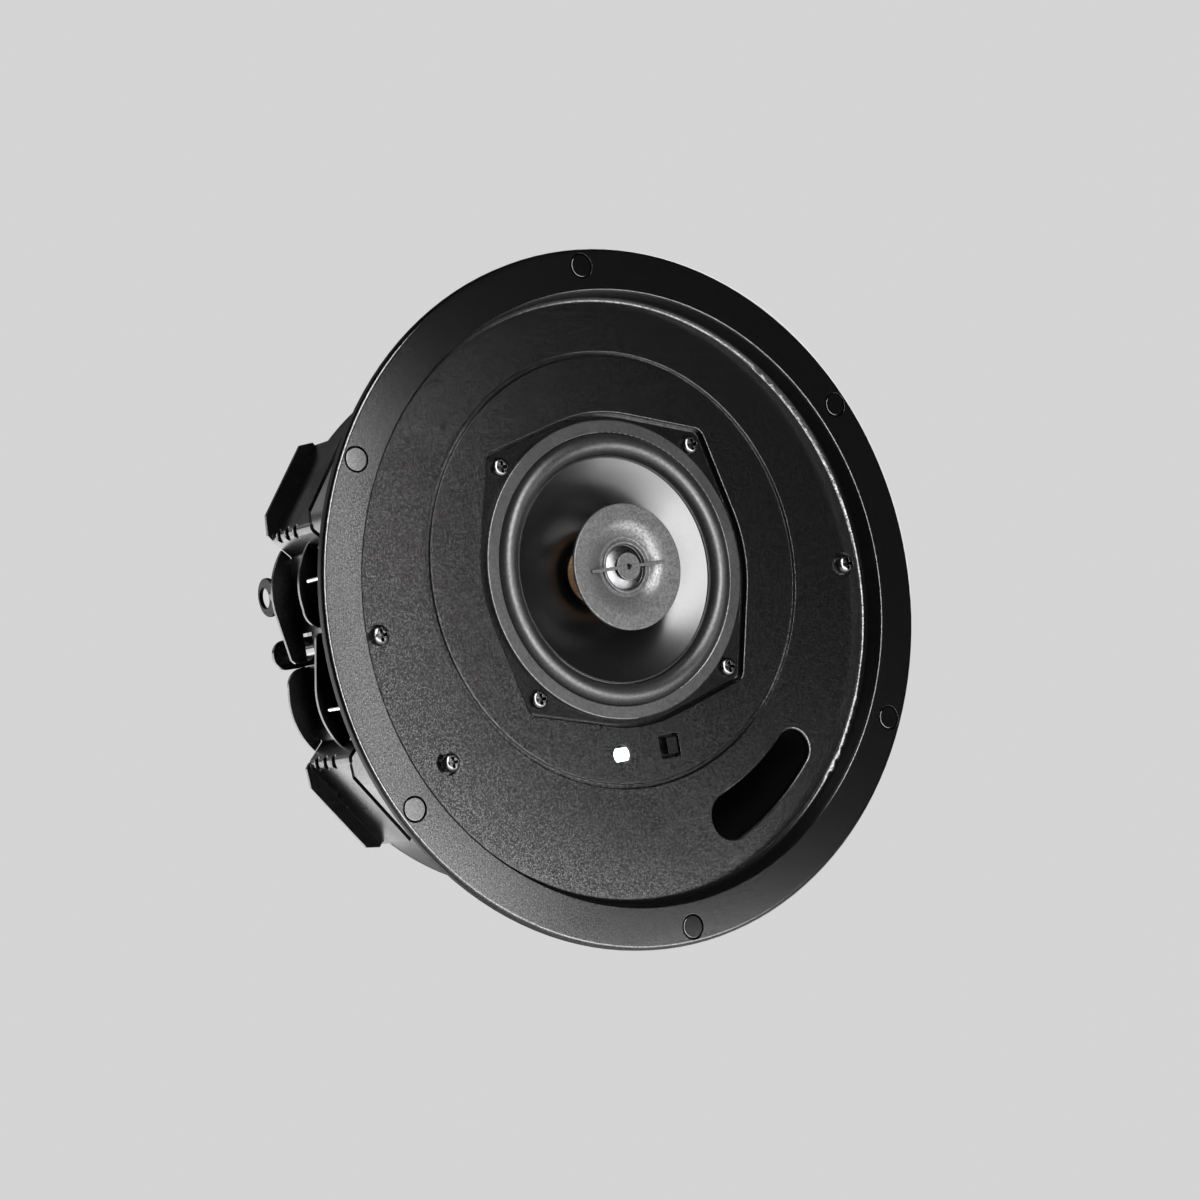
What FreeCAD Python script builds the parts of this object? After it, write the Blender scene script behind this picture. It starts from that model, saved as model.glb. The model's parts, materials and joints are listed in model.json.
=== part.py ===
import FreeCAD, Part
import math
import os

os.makedirs("parts", exist_ok=True)

Vector = FreeCAD.Vector

# Frame: X to the right seen from the front, Y to the rear, Z up, all in millimetres.
# The origin is the centre of the bezel's rear face, where it meets the ceiling.

# Bezel, recess and baffle, one moulding
bezel_r = 145.2
bezel_width = 17.7
bezel_thick = 4.2
bezel_edge_round = 1.7
bezel_rear_round = 0.5
recess_draft = 1.1
recess_depth = 10.4
recess_mouth_round = 0.8
recess_floor_round = 2.4
recess_wall = 1.9
baffle_wall = 3.0
skirt_wall = 2.6
seal_rib_wall = 3.0
seal_rib_height = 7.8
groove_shift = -0.181
groove_width = 1.4
groove_depth = 1.3
groove_shoulder = 0.5

# Grille magnets, set flush in the bezel
magnet_count = 6
magnet_inset = 7.2
magnet_r = 5.0
magnet_thick = 3.0
magnet_gap = 0.3

# Back can: a drum with two flat sides that leave room for the clamps
can_flat_cut = 13.0
can_sheet = 1.2
can_depth = 81.0
can_corner = 12.0
can_side_round = 18.0
can_lip_gap = 1.4
can_stamp_border = 21.0
can_stamp_depth = 2.4
can_gasket_thick = 2.0
can_screw_count = 8
can_screw_edge = 3.5
can_screw_room = 0.7
can_screw_r = 1.75
can_screw_head_r = 3.2
can_screw_head = 2.4
can_screw_length = 9.0

# Driver: five-inch class woofer with the tweeter on its pole
driver_z = 12.4
frame_edge = 1.6
frame_ear_reach = 5.56215
frame_ear_round = 3.8
frame_sheet = 1.9
frame_sink = 2.6
opening_edge_round = 0.5
frame_gap = 1.4
frame_bowl_border = 1.0
frame_bowl_wall = 1.6
seat_wall = 4.3
seat_border = 4.0
driver_screw_border = 4.89941
driver_screw_r = 2.0
driver_screw_head_r = 3.95
driver_screw_head = 2.9
driver_screw_length = 11.0
trim_ring_inner_r = 57.0
trim_ring_width = 5.7
trim_ring_thick = 1.5
surround_thick = 0.7
surround_foot = 3.6
cone_r = 48.0
cone_mid_r = 31.0
cone_mid_depth = 8.4
cone_neck_r = 13.0
cone_depth = 20.6
cone_thick = 1.1
cone_bead = 1.2
cone_bead_height = 0.5
former_r = 12.65
former_wall = 0.35
former_front = 13.6
former_length = 30.0
winding_thick = 0.7
winding_length = 11.0
spider_r = 44.3
spider_thick = 0.6
spider_waves = 6
spider_wave_height = 1.8
top_plate_r = 38.0
top_plate_thick = 5.0
top_plate_bore_r = 13.95
motor_front = 35.8
ferrite_r = 42.0
ferrite_bore_r = 20.0
ferrite_thick = 15.0
pole_r = 11.8
yoke_r = 40.0
yoke_thick = 5.0

# Tweeter on its post, in front of the cone
tweeter_r = 26.4
tweeter_stand = 7.6
tweeter_edge = 3.4
tweeter_rim = 1.4
tweeter_edge_round = 0.5
flare_mouth_r = 16.3
flare_mouth_round = 13.0
flare_foot_r = 12.5
flare_throat_r = 10.6
flare_depth = 2.9
lip_outer_r = 11.0
lip_inner_r = 9.7
lip_rise = 1.3
cup_r = 17.0
cup_wall = 3.0
cup_depth = 12.0
cup_floor = 3.0
post_r = 9.5
stud_r = 3.0
stud_length = 16.0
dome_r = 9.9
dome_height = 2.4
dome_wall = 0.35
dome_rim = 0.5
dome_travel_room = 0.6
tweeter_magnet_r = 8.0
tweeter_magnet_thick = 4.5
plug_r = 5.8
plug_thick = 1.0
plug_hole_r = 1.3
bridge_half = 18.4
bridge_height = 1.3
bridge_thick = 1.0

# Port: a slot between an arc about the driver and an arc about the bezel
port_can_gap = 1.5
port_arc_step = 7.5
port_start_clock = 135.5
port_end_clock = 159.7
port_edge_round = 1.1
port_wall = 1.9
port_length = 48.0

# Status light and slide switch on the baffle, below the driver
light_x = -13.6
light_border = 11.7
light_hole_r = 4.1
light_pipe_r = 3.8
light_half_height = 2.75
light_sink = 0.3
switch_x = 10.7
switch_slot = 10.0
switch_slot_round = 1.2
switch_knob_width = 5.0
switch_knob_height = 6.8
switch_knob_sink = 0.5
switch_travel = 3.5
switch_case = 14.0
switch_floor = 1.6
switch_well = 1.4
switch_tongue = 1.6
indicator_board = (52.0, 14.4)
board_thick = 1.6
indicator_boss_x = 22.5
small_screw_r = 1.25
small_screw_head_r = 2.4
small_screw_head = 1.8

# Captive service screw, lower left of the baffle
service_border = 30.8
service_z = -54.0
service_hole_r = 5.0
service_hole_depth = 1.8
service_screw_r = 2.5
service_head_r = 3.8
service_head = 3.0
service_stand = 1.4
service_length = 24.0

# Ceiling clamps: a folded bracket on each side, drawn along by a screw
clamp_screw_out = 12.3
clamp_screw_r = 2.5
clamp_head_r = 4.3
clamp_head = 4.1
clamp_bore_r = 5.2
clamp_bore_depth = 0.6
clamp_screw_end = 84.5
screw_clearance = 0.3
thread_clearance = 0.05
bond_line = 0.05
clamp_sheet = 1.5
clamp_bend = 1.5
web_from_flat = 24.5
web_front = 22.5
web_rear = 47.6
crest_step = 8.48918
wing_cut_in = 16.0
wing_cut_out = 6.0
web_cut_in = 10.0
crest_z = 46.0
crest_front = 10.5
wing_step_from_crest = 11.0
wing_step_front = 22.0
wing_end_from_crest = 52.6
wing_end_front = 38.0
wing_rear_at_crest = 44.1
wing_rear_at_end = 63.4
lip_height = 6.6
lip_lean = 2.0
lip_corner = 5.0
lip_corner_run = 6.5
leaf_tip_from_crest = 5.2
leaf_broad = 15.0
leaf_height = 9.5
leaf_end = 7.0
long_leaf_past = 5.0
long_leaf_height = 6.2
long_leaf_corner = 1.6
web_notch = 6.5
web_notch_front = 37.5
nut_tab_y = 31.0
nut_tab_half = 8.0
nut_tab_gap = 4.0
nut_flats = 8.0
nut_thick = 4.0
dart_r = 2.0
dart_half = 7.0
dart_first_y = 24.0
dart_pitch = 7.0
dart_count = 3
clamp_back_travel = 16.0

# Brackets on the can that carry the tails of the clamp screws, and the safety eye
end_sheet = 1.8
end_plate_y = 80.2
end_foot_length = 16.0
end_tab_half = 6.2
end_tab_reach = 21.0
bush_r = 4.1
bush_length = 12.0
bush_spigot_r = 3.1
bush_clearance = 0.1
eye_from_flat = 13.7
eye_z = 25.0
eye_r = 8.2
eye_bore_r = 4.5
eye_bore_shift = 2.3
eye_thick = 1.8
eye_stem_r = 2.0
eye_collar_r = 3.4
eye_collar = 1.0
eye_tab_border = 0.4
eye_nut_flats = 5.5
eye_nut_thick = 3.2

# Thin locating pins behind the bezel, a pair beside each clamp
pin_inset = 6.2
pin_z = 25.5
pin_r = 0.75
pin_reach = 15.3
pin_seat = 2.4

# Connector plate on the back of the can, with the amplifier board behind it
plate_z = -10.0
plate_size = (98.0, 74.0)
plate_corner = 4.0
plate_sheet = 1.5
plate_screw_inset = 4.5
plate_screw_grip = 4.0
plate_opening = (84.0, 60.0)
plate_opening_round = 5.0
amplifier_size = (80.0, 56.0)
standoff_x = 35.0
standoff_z = 23.0
standoff_flats = 5.0
standoff_length = 16.0
jack_x = -20.0
jack_size = (16.2, 14.0)
jack_proud = 1.6
jack_port = (11.8, 8.4)
jack_port_depth = 12.0
cutout_gap = 0.3
saddle_x = -20.0
saddle_z = -31.0
saddle_span = 30.0
saddle_width = 9.0
saddle_sheet = 1.6
saddle_bore = (12.0, 6.0)
saddle_screw_half = 11.5
vent_x = 22.0
vent_count = 6
vent_pitch = 5.0
vent_size = (30.0, 2.4)
capacitor_count = 3
capacitor_r = 5.0
capacitor_height = 12.0
capacitor_pitch = 13.0
sink_size = (28.0, 22.0)
sink_base = 3.0
sink_height = 13.0
sink_fin = 1.5
sink_fin_count = 6

# Radii and places that follow from the sizes above, from the bezel inwards
root_half = math.sqrt(0.5)
recess_mouth_r = bezel_r - bezel_width
recess_floor_r = recess_mouth_r - recess_draft
skirt_r = recess_mouth_r + recess_wall
magnet_circle_r = bezel_r - magnet_inset
pin_x = bezel_r - pin_inset
service_x = service_border - recess_floor_r
can_lip_r = skirt_r - skirt_wall - can_lip_gap
can_screw_circle_r = can_lip_r - can_screw_edge
can_r = can_screw_circle_r - can_screw_head_r - can_screw_room
can_flat = can_r - can_flat_cut
can_stamp_r = can_flat - can_stamp_border
port_outer_r = can_r - can_sheet - port_can_gap - port_wall
port_inner_r = port_outer_r - port_arc_step
clamp_screw_x = can_flat + clamp_screw_out
web_out = can_flat + web_from_flat
crest_out = web_out + crest_step
wing_plane = (crest_out + crest_z) * root_half
nut_tab_in = can_flat + nut_tab_gap
end_tab_out = can_flat + end_tab_reach
eye_out = can_flat + eye_from_flat

# Radii and places of the driver, from the trim ring outwards
trim_ring_r = trim_ring_inner_r + trim_ring_width
frame_bowl_r = trim_ring_inner_r + frame_bowl_border
frame_disc_r = trim_ring_r + frame_edge
frame_ear = (frame_disc_r + frame_ear_reach) * root_half
driver_screw_half = (trim_ring_r + driver_screw_border) * root_half
light_z = driver_z - frame_disc_r - light_border
ear_tip_r = frame_ear / root_half + frame_ear_round + frame_gap
groove_r = (port_inner_r + ear_tip_r) / 2 + groove_shift

# Levels along the axis that follow from the sizes above
bezel_front = -bezel_thick
face_y = bezel_front + recess_depth
baffle_back = face_y + baffle_wall
land_y = baffle_back + seal_rib_height
can_front = land_y + can_gasket_thick
skirt_back = can_front + can_sheet
can_back = can_front + can_depth
panel_back = can_back - can_stamp_depth
can_inner = panel_back - can_sheet
frame_front = face_y + frame_sink
frame_back = frame_front + frame_sheet
seat_back = frame_back + seat_wall
surround_y = frame_front - surround_thick
trim_front = surround_y - trim_ring_thick
cone_rim_y = surround_y
neck_y = cone_rim_y + cone_depth
former_y = cone_rim_y + former_front
top_plate_y = frame_front + motor_front - cone_thick
ferrite_y = top_plate_y + top_plate_thick
yoke_y = ferrite_y + ferrite_thick
tweeter_y = face_y - tweeter_stand
cup_y = tweeter_y + tweeter_edge
board_y = panel_back - standoff_length - board_thick
small_pilot_r = small_screw_r + thread_clearance


# Shape helpers

def rounded_wire(corners, place):
    """Closed wire through corners (a, b) or (a, b, radius), with a tangent arc at each rounded corner."""
    points = [Vector(c[0], c[1], 0) for c in corners]
    stretches = []
    for i, corner in enumerate(corners):
        here = points[i]
        radius = corner[2] if len(corner) > 2 else 0
        if radius == 0:
            stretches.append((here, None, here))
            continue
        back = (points[i - 1] - here).normalize()
        ahead = (points[(i + 1) % len(points)] - here).normalize()
        half = back.getAngle(ahead) / 2
        cut = radius / math.tan(half)
        middle = (back + ahead).normalize()
        crown = here + middle * (radius / math.sin(half) - radius)
        stretches.append((here + back * cut, crown, here + ahead * cut))
    edges = []
    for i, (start, crown, end) in enumerate(stretches):
        if crown is not None:
            arc = Part.Arc(place(start.x, start.y), place(crown.x, crown.y), place(end.x, end.y))
            edges.append(arc.toShape())
        following = stretches[(i + 1) % len(stretches)][0]
        if end.distanceToPoint(following) > 1e-6:
            line = Part.LineSegment(place(end.x, end.y), place(following.x, following.y))
            edges.append(line.toShape())
    return Part.Wire(edges)


def turned(corners, x=0.0, z=0.0):
    """Solid of revolution about an axis along Y, from corners (radius, y) or (radius, y, rounding)."""
    wire = rounded_wire(corners, lambda r, y: Vector(r, y, 0))
    solid = Part.Face(wire).revolve(Vector(0, 0, 0), Vector(0, 1, 0), 360)
    solid.translate(Vector(x, 0, z))
    return solid


def plate(corners, front, back):
    """Flat piece with its outline (x, z) or (x, z, rounding) across the axis, from front to back."""
    wire = rounded_wire(corners, lambda x, z: Vector(x, front, z))
    return Part.Face(wire).extrude(Vector(0, back - front, 0))


def rectangle(width, height, x=0.0, z=0.0, rounding=0.0):
    """Outline of a rectangle centred on x, z."""
    half_x = width / 2
    half_z = height / 2
    signs = ((-1, -1), (1, -1), (1, 1), (-1, 1))
    return [(x + sx * half_x, z + sz * half_z, rounding) for sx, sz in signs]


def rod(radius, front, back, x=0.0, z=0.0):
    """Round bar along Y."""
    return Part.makeCylinder(radius, back - front, Vector(x, front, z), Vector(0, 1, 0))


def tube(outer, inner, front, back, x=0.0, z=0.0):
    """Round bar along Y with a bore."""
    return rod(outer, front, back, x, z).cut(rod(inner, front, back, x, z))


def box(low, high):
    """Block between two corners."""
    size = [high[i] - low[i] for i in range(3)]
    return Part.makeBox(size[0], size[1], size[2], Vector(*low))


def hexagon(flats, front, back, x=0.0, z=0.0):
    """Six-sided bar along Y."""
    corner_r = flats / math.sqrt(3)
    angles = [math.radians(60 * i) for i in range(6)]
    return plate([(x + corner_r * math.cos(a), z + corner_r * math.sin(a)) for a in angles], front, back)


def on_circle(radius, clock, z=0.0):
    """Point x, z on a circle, at degrees clockwise from the top as seen from the front."""
    angle = math.radians(clock)
    return radius * math.sin(angle), z + radius * math.cos(angle)


def screw(x, z, seat, facing, shank_r, head_r, head, length):
    """Pan-head screw with a cross recess. facing is -1 with its head to the front, 1 to the rear."""
    top = seat + facing * head
    profile = [(0, seat), (head_r, seat), (head_r, top, 0.6 * head), (0, top)]
    shank = rod(shank_r, min(seat, seat - facing * length), max(seat, seat - facing * length), x, z)
    solid = turned(profile, x, z).fuse(shank)
    slot_half = 0.62 * head_r
    slot_width = 0.16 * head_r
    floor = top - facing * 0.5 * head
    low_y = min(top, floor)
    high_y = max(top, floor)
    along = box((x - slot_half, low_y, z - slot_width), (x + slot_half, high_y, z + slot_width))
    across = box((x - slot_width, low_y, z - slot_half), (x + slot_width, high_y, z + slot_half))
    return solid.cut([along, across])


def eared_disc(grow, front, back):
    """The driver frame's outline as a plate: a disc with four pointed ears, grown by a border."""
    disc_r = frame_disc_r + grow
    ear_r = frame_ear_round + grow
    reach = frame_ear * math.sqrt(2)
    lean = math.acos((disc_r - ear_r) / reach)
    solids = [rod(disc_r, front, back, 0, driver_z)]
    for quarter in range(4):
        heading = math.radians(45 + 90 * quarter)
        ear_x = reach * math.cos(heading)
        ear_z = driver_z + reach * math.sin(heading)
        sides = []
        for turn in (lean, -lean):
            side_x = math.cos(heading + turn)
            side_z = math.sin(heading + turn)
            pair = [(disc_r * side_x, driver_z + disc_r * side_z), (ear_x + ear_r * side_x, ear_z + ear_r * side_z)]
            sides.append(pair)
        corners = [(0, driver_z)] + sides[0] + sides[1][::-1]
        solids.append(plate(corners, front, back))
        solids.append(rod(ear_r, front, back, ear_x, ear_z))
    return solids[0].fuse(solids[1:]).removeSplitter()


def can_drum(inset, front, back, corner):
    """The can's drum shape: a cylinder with two flat sides, rounded at the sides and at the rear edge."""
    radius = can_r - inset
    flat = can_flat - inset
    slab = box((-flat, front, -can_r), (flat, back, can_r))
    drum = rod(radius, front, back).common(slab)
    sides = [e for e in drum.Edges if abs(e.Vertexes[0].Y - e.Vertexes[-1].Y) > 1]
    sides = [e for e in sides if abs(abs(e.Vertexes[0].X) - flat) < 1e-4]
    drum = drum.makeFillet(can_side_round - inset, sides)
    if corner == 0:
        return drum
    rear = [e for e in drum.Edges if abs(e.BoundBox.YMin - back) < 1e-4]
    return drum.makeFillet(corner - inset, rear)


def port_outline(grow):
    """Face corners of the port slot as a wire: both edges are arcs, and both ends are round."""
    total = port_inner_r + port_outer_r
    ends = []
    for clock in (port_start_clock, port_end_clock):
        spread = 2 * (total - driver_z * math.cos(math.radians(clock)))
        reach = (total ** 2 - driver_z ** 2) / spread
        ends.append((Vector(*on_circle(reach, clock), 0), port_outer_r - reach + grow))
    driver = Vector(0, driver_z, 0)
    bezel = Vector(0, 0, 0)
    (first, first_r), (last, last_r) = ends
    outer_first = first + (first - bezel).normalize() * first_r
    outer_last = last + (last - bezel).normalize() * last_r
    inner_first = first - (first - driver).normalize() * first_r
    inner_last = last - (last - driver).normalize() * last_r
    side = (outer_last - outer_first).normalize()
    outer_middle = (outer_first + outer_last).normalize() * (port_outer_r + grow)
    inner_heading = (inner_first + inner_last) * 0.5 - driver
    inner_middle = driver + inner_heading.normalize() * (port_inner_r - grow)
    first_tip = first - side * first_r
    last_tip = last + side * last_r
    arcs = ((outer_first, outer_middle, outer_last), (outer_last, last_tip, inner_last),
            (inner_last, inner_middle, inner_first), (inner_first, first_tip, outer_first))
    edges = [Part.Arc(*[Vector(p.x, 0, p.y) for p in arc]).toShape() for arc in arcs]
    return Part.Wire(edges)


def port_prism(grow, front, back):
    """The port slot's outline carried from front to back."""
    wire = port_outline(grow)
    wire.translate(Vector(0, front, 0))
    return Part.Face(wire).extrude(Vector(0, back - front, 0))


def save(name, shape):
    """Write one named piece. A list is a group of separate solids."""
    if isinstance(shape, list):
        shape = Part.makeCompound(shape)
    else:
        shape = shape.removeSplitter()
    if not shape.isValid() or shape.Volume <= 0:
        print("not sound:", name)
    shape.exportStep("parts/" + name + ".step")


clamp_sides = (-1, 1)
corner_signs = ((-1, -1), (1, -1), (1, 1), (-1, 1))
driver_screw_places = [(sx * driver_screw_half, driver_z + sz * driver_screw_half) for sx, sz in corner_signs]
can_screw_clocks = [(i + 0.5) * 360 / can_screw_count for i in range(can_screw_count)]
can_screw_places = [on_circle(can_screw_circle_r, clock) for clock in can_screw_clocks]
magnet_places = [on_circle(magnet_circle_r, i * 360 / magnet_count) for i in range(magnet_count)]


# Front baffle: bezel flange, recess, baffle and skirt in one moulding

def edges_on_face(body, line):
    """Edges of the body on the baffle's front face that follow a line drawn at Y = 0."""
    found = []
    for edge in body.Edges:
        flat_on_face = abs(edge.BoundBox.YMin - face_y) < 1e-4 and abs(edge.BoundBox.YMax - face_y) < 1e-4
        middle = edge.valueAt((edge.FirstParameter + edge.LastParameter) / 2)
        probe = Part.Vertex(Vector(middle.x, 0, middle.z))
        if flat_on_face and probe.distToShape(line)[0] < 1e-3:
            found.append(edge)
    return found


def front_baffle():
    profile = [(0, face_y), (recess_floor_r, face_y, recess_floor_round),
               (recess_mouth_r, bezel_front, recess_mouth_round), (bezel_r, bezel_front, bezel_edge_round),
               (bezel_r, 0, bezel_rear_round), (skirt_r, 0), (skirt_r, skirt_back),
               (skirt_r - skirt_wall, skirt_back), (skirt_r - skirt_wall, baffle_back), (0, baffle_back)]
    body = turned(profile)
    rib = can_drum(-seal_rib_wall + can_sheet, baffle_back, land_y, 0)
    rib = rib.cut(can_drum(can_sheet, baffle_back, land_y, 0))
    adds = [rib, eared_disc(seat_border, baffle_back, seat_back)]
    cuts = [eared_disc(frame_gap, face_y, frame_back), rod(frame_bowl_r + frame_gap, face_y, seat_back, 0, driver_z)]
    groove_mid = face_y + groove_depth
    groove_out = groove_r + groove_width / 2
    groove_in = groove_r - groove_width / 2
    shoulder_y = face_y + groove_shoulder
    cuts.append(turned([(groove_in - groove_shoulder, face_y), (groove_out + groove_shoulder, face_y),
                        (groove_out, shoulder_y), (groove_out, groove_mid), (groove_in, groove_mid),
                        (groove_in, shoulder_y)], 0, driver_z))
    boss_wall = 2.2
    for x, z in driver_screw_places:
        adds.append(rod(driver_screw_r + boss_wall, baffle_back, frame_front + driver_screw_length + boss_wall, x, z))
        cuts.append(rod(driver_screw_r + thread_clearance, frame_back, frame_front + driver_screw_length, x, z))
    screw_tip = skirt_back - can_screw_length
    for x, z in can_screw_places:
        adds.append(rod(can_screw_r + boss_wall, baffle_back, land_y, x, z))
        cuts.append(rod(can_screw_r + thread_clearance, screw_tip, land_y, x, z))
    for x, z in magnet_places:
        cuts.append(rod(magnet_r + magnet_gap, bezel_front, bezel_front + magnet_thick, x, z))
    for side in clamp_sides:
        x = side * clamp_screw_x
        adds.append(rod(clamp_screw_r + screw_clearance + boss_wall, baffle_back, land_y, x))
        cuts.append(rod(clamp_bore_r, face_y, face_y + clamp_bore_depth, x))
        cuts.append(rod(clamp_screw_r + screw_clearance, face_y, land_y, x))
        near = min(side * can_lip_r, side * (skirt_r + 1))
        far = max(side * can_lip_r, side * (skirt_r + 1))
        window = box((near, baffle_back, -crest_z), (far, skirt_back, crest_z))
        cuts.append(window)
        for pin_side in (-1, 1):
            cuts.append(rod(pin_r + thread_clearance, -pin_seat, 0, side * pin_x, pin_side * pin_z))
    adds.append(rod(service_screw_r + boss_wall, baffle_back, face_y + service_length, service_x, service_z))
    cuts.append(rod(service_hole_r, face_y, face_y + service_hole_depth, service_x, service_z))
    service_tip = face_y - service_stand + service_length
    cuts.append(rod(service_screw_r + thread_clearance, face_y, service_tip, service_x, service_z))
    cuts.append(rod(light_hole_r, face_y, baffle_back, light_x, light_z))
    cuts.append(plate(rectangle(switch_slot, switch_slot, switch_x, light_z, switch_slot_round), face_y, baffle_back))
    for sign in (-1, 1):
        adds.append(rod(small_screw_r + boss_wall, baffle_back, indicator_y, sign * indicator_boss_x, light_z))
        pilot_y = face_y + baffle_wall / 2
        cuts.append(rod(small_pilot_r, pilot_y, indicator_y, sign * indicator_boss_x, light_z))
    cuts.append(port_prism(0, face_y, baffle_back))
    body = body.fuse(adds).cut(cuts)
    pocket = eared_disc(frame_gap, 0, 1)
    pocket_line = Part.Wire(Part.__sortEdges__([e for e in pocket.Edges if e.BoundBox.YMax < 1e-4]))
    body = body.makeFillet(port_edge_round, edges_on_face(body, port_outline(0)))
    return body.makeFillet(opening_edge_round, edges_on_face(body, pocket_line))


# Slide switch and status light, on their own small board

switch_floor_y = baffle_back + switch_well
switch_back = switch_floor_y + switch_floor + switch_tongue
indicator_y = switch_back
knob_x = switch_x + switch_travel / 2


def switch_case_solid():
    outline = rectangle(switch_case, switch_case, switch_x, light_z, switch_slot_round)
    case = plate(outline, baffle_back, switch_back)
    well = plate(rectangle(switch_slot, switch_slot, switch_x, light_z, switch_slot_round), baffle_back, switch_floor_y)
    track = switch_travel + switch_tongue + 2 * screw_clearance
    slot = plate(rectangle(track, switch_tongue + 2 * screw_clearance, switch_x, light_z), switch_floor_y, switch_back)
    return case.cut([well, slot])


def switch_knob():
    top = face_y + switch_knob_sink
    cap = plate(rectangle(switch_knob_width, switch_knob_height, knob_x, light_z, 0.5), top, switch_floor_y)
    tongue = plate(rectangle(switch_tongue, switch_tongue, knob_x, light_z), switch_floor_y, switch_floor_y + switch_floor)
    return cap.fuse(tongue)


def light_pipe():
    pipe = rod(light_pipe_r, face_y + light_sink, indicator_y, light_x, light_z)
    low = (light_x - light_pipe_r, face_y, light_z - light_half_height)
    high = (light_x + light_pipe_r, indicator_y, light_z + light_half_height)
    return pipe.common(box(low, high))


def indicator_board_solid():
    board = plate(rectangle(*indicator_board, 0, light_z, 1.0), indicator_y, indicator_y + board_thick)
    holes = []
    for sign in (-1, 1):
        x = sign * indicator_boss_x
        holes.append(rod(small_screw_r + screw_clearance, indicator_y, indicator_y + board_thick, x, light_z))
    return board.cut(holes)


def indicator_screws():
    seat = indicator_y + board_thick
    length = seat - face_y - baffle_wall / 2 - 1.0
    sizes = (small_screw_r, small_screw_head_r, small_screw_head, length)
    return [screw(sign * indicator_boss_x, light_z, seat, 1, *sizes) for sign in (-1, 1)]


# Back can, gasket and their screws

def back_can():
    drum = can_drum(0, can_front, can_back, can_corner)
    room = can_drum(can_sheet, can_front, can_back - can_sheet, can_corner)
    stamp = turned([(0, panel_back), (can_stamp_r - can_stamp_depth, panel_back, 2.0),
                    (can_stamp_r + 1, can_back + 1), (0, can_back + 1)])
    inner_stamp = turned([(0, can_inner), (can_stamp_r + can_sheet - can_stamp_depth, can_inner, 2.0),
                          (can_stamp_r + can_sheet, can_back - can_sheet), (0, can_back - can_sheet)])
    lip = rod(can_lip_r, can_front, skirt_back)
    opening = plate(rectangle(*plate_opening, 0, plate_z, plate_opening_round), can_inner, panel_back)
    cuts = [room.cut(inner_stamp), stamp, opening]
    for x, z in can_screw_places:
        cuts.append(rod(can_screw_r + screw_clearance, can_front, skirt_back, x, z))
    for side in clamp_sides:
        cuts.append(rod(clamp_screw_r + screw_clearance, can_front, skirt_back, side * clamp_screw_x))
    for x, z in plate_screw_places:
        cuts.append(rod(small_pilot_r, can_inner, panel_back, x, z))
    return drum.fuse(lip).cut(cuts)


def can_gasket():
    ring = rod(can_lip_r, land_y, can_front).cut(can_drum(can_sheet, land_y, can_front, 0))
    cuts = [rod(can_screw_r + screw_clearance, land_y, can_front, x, z) for x, z in can_screw_places]
    for side in clamp_sides:
        cuts.append(rod(clamp_screw_r + screw_clearance, land_y, can_front, side * clamp_screw_x))
    return ring.cut(cuts)


def can_screws():
    sizes = (can_screw_r, can_screw_head_r, can_screw_head, can_screw_length)
    return [screw(x, z, skirt_back, 1, *sizes) for x, z in can_screw_places]


# Woofer

def driver_frame():
    flange = eared_disc(0, frame_front, frame_back)
    flange = flange.cut(rod(frame_bowl_r - frame_bowl_wall, frame_front, frame_back, 0, driver_z))
    neck = frame_back + 5.0
    ledge_out = spider_r + 0.7
    ledge_in = spider_r - 6.0
    waist_out = ledge_out + frame_bowl_wall
    back_in = cone_neck_r + 4.0
    bowl = turned([(frame_bowl_r, frame_front), (frame_bowl_r, neck), (waist_out, spider_y + spider_thick - 1.0),
                   (waist_out, spider_y + spider_thick + frame_bowl_wall), (ferrite_r, top_plate_y),
                   (back_in, top_plate_y), (back_in, top_plate_y - frame_bowl_wall),
                   (ferrite_r - frame_bowl_wall, top_plate_y - frame_bowl_wall),
                   (ledge_out - 0.4, spider_y + spider_thick + frame_bowl_wall),
                   (ledge_in, spider_y + spider_thick + frame_bowl_wall), (ledge_in, spider_y + spider_thick),
                   (ledge_out, spider_y + spider_thick), (ledge_out, spider_y - 1.0),
                   (frame_bowl_r - frame_bowl_wall, neck), (frame_bowl_r - frame_bowl_wall, frame_front)],
                  0, driver_z)
    windows = []
    window_front = neck + 2.0
    window_back = spider_y - 3.0
    window_half = 21.0
    for quarter in range(4):
        window = box((-window_half, window_front, ledge_in), (window_half, window_back, frame_bowl_r + 5))
        window.rotate(Vector(0, 0, 0), Vector(0, 1, 0), 90 * quarter)
        window.translate(Vector(0, 0, driver_z))
        windows.append(window)
    holes = [rod(driver_screw_r + screw_clearance, frame_front, frame_back, x, z) for x, z in driver_screw_places]
    return flange.fuse(bowl.cut(windows)).cut(holes)


spider_y = neck_y + 3.6


def trim_ring():
    return turned([(trim_ring_inner_r, trim_front, 0.5), (trim_ring_r, trim_front, 0.6),
                   (trim_ring_r, frame_front), (trim_ring_inner_r + surround_foot, frame_front),
                   (trim_ring_inner_r + surround_foot, surround_y), (trim_ring_inner_r, surround_y)], 0, driver_z)


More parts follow.
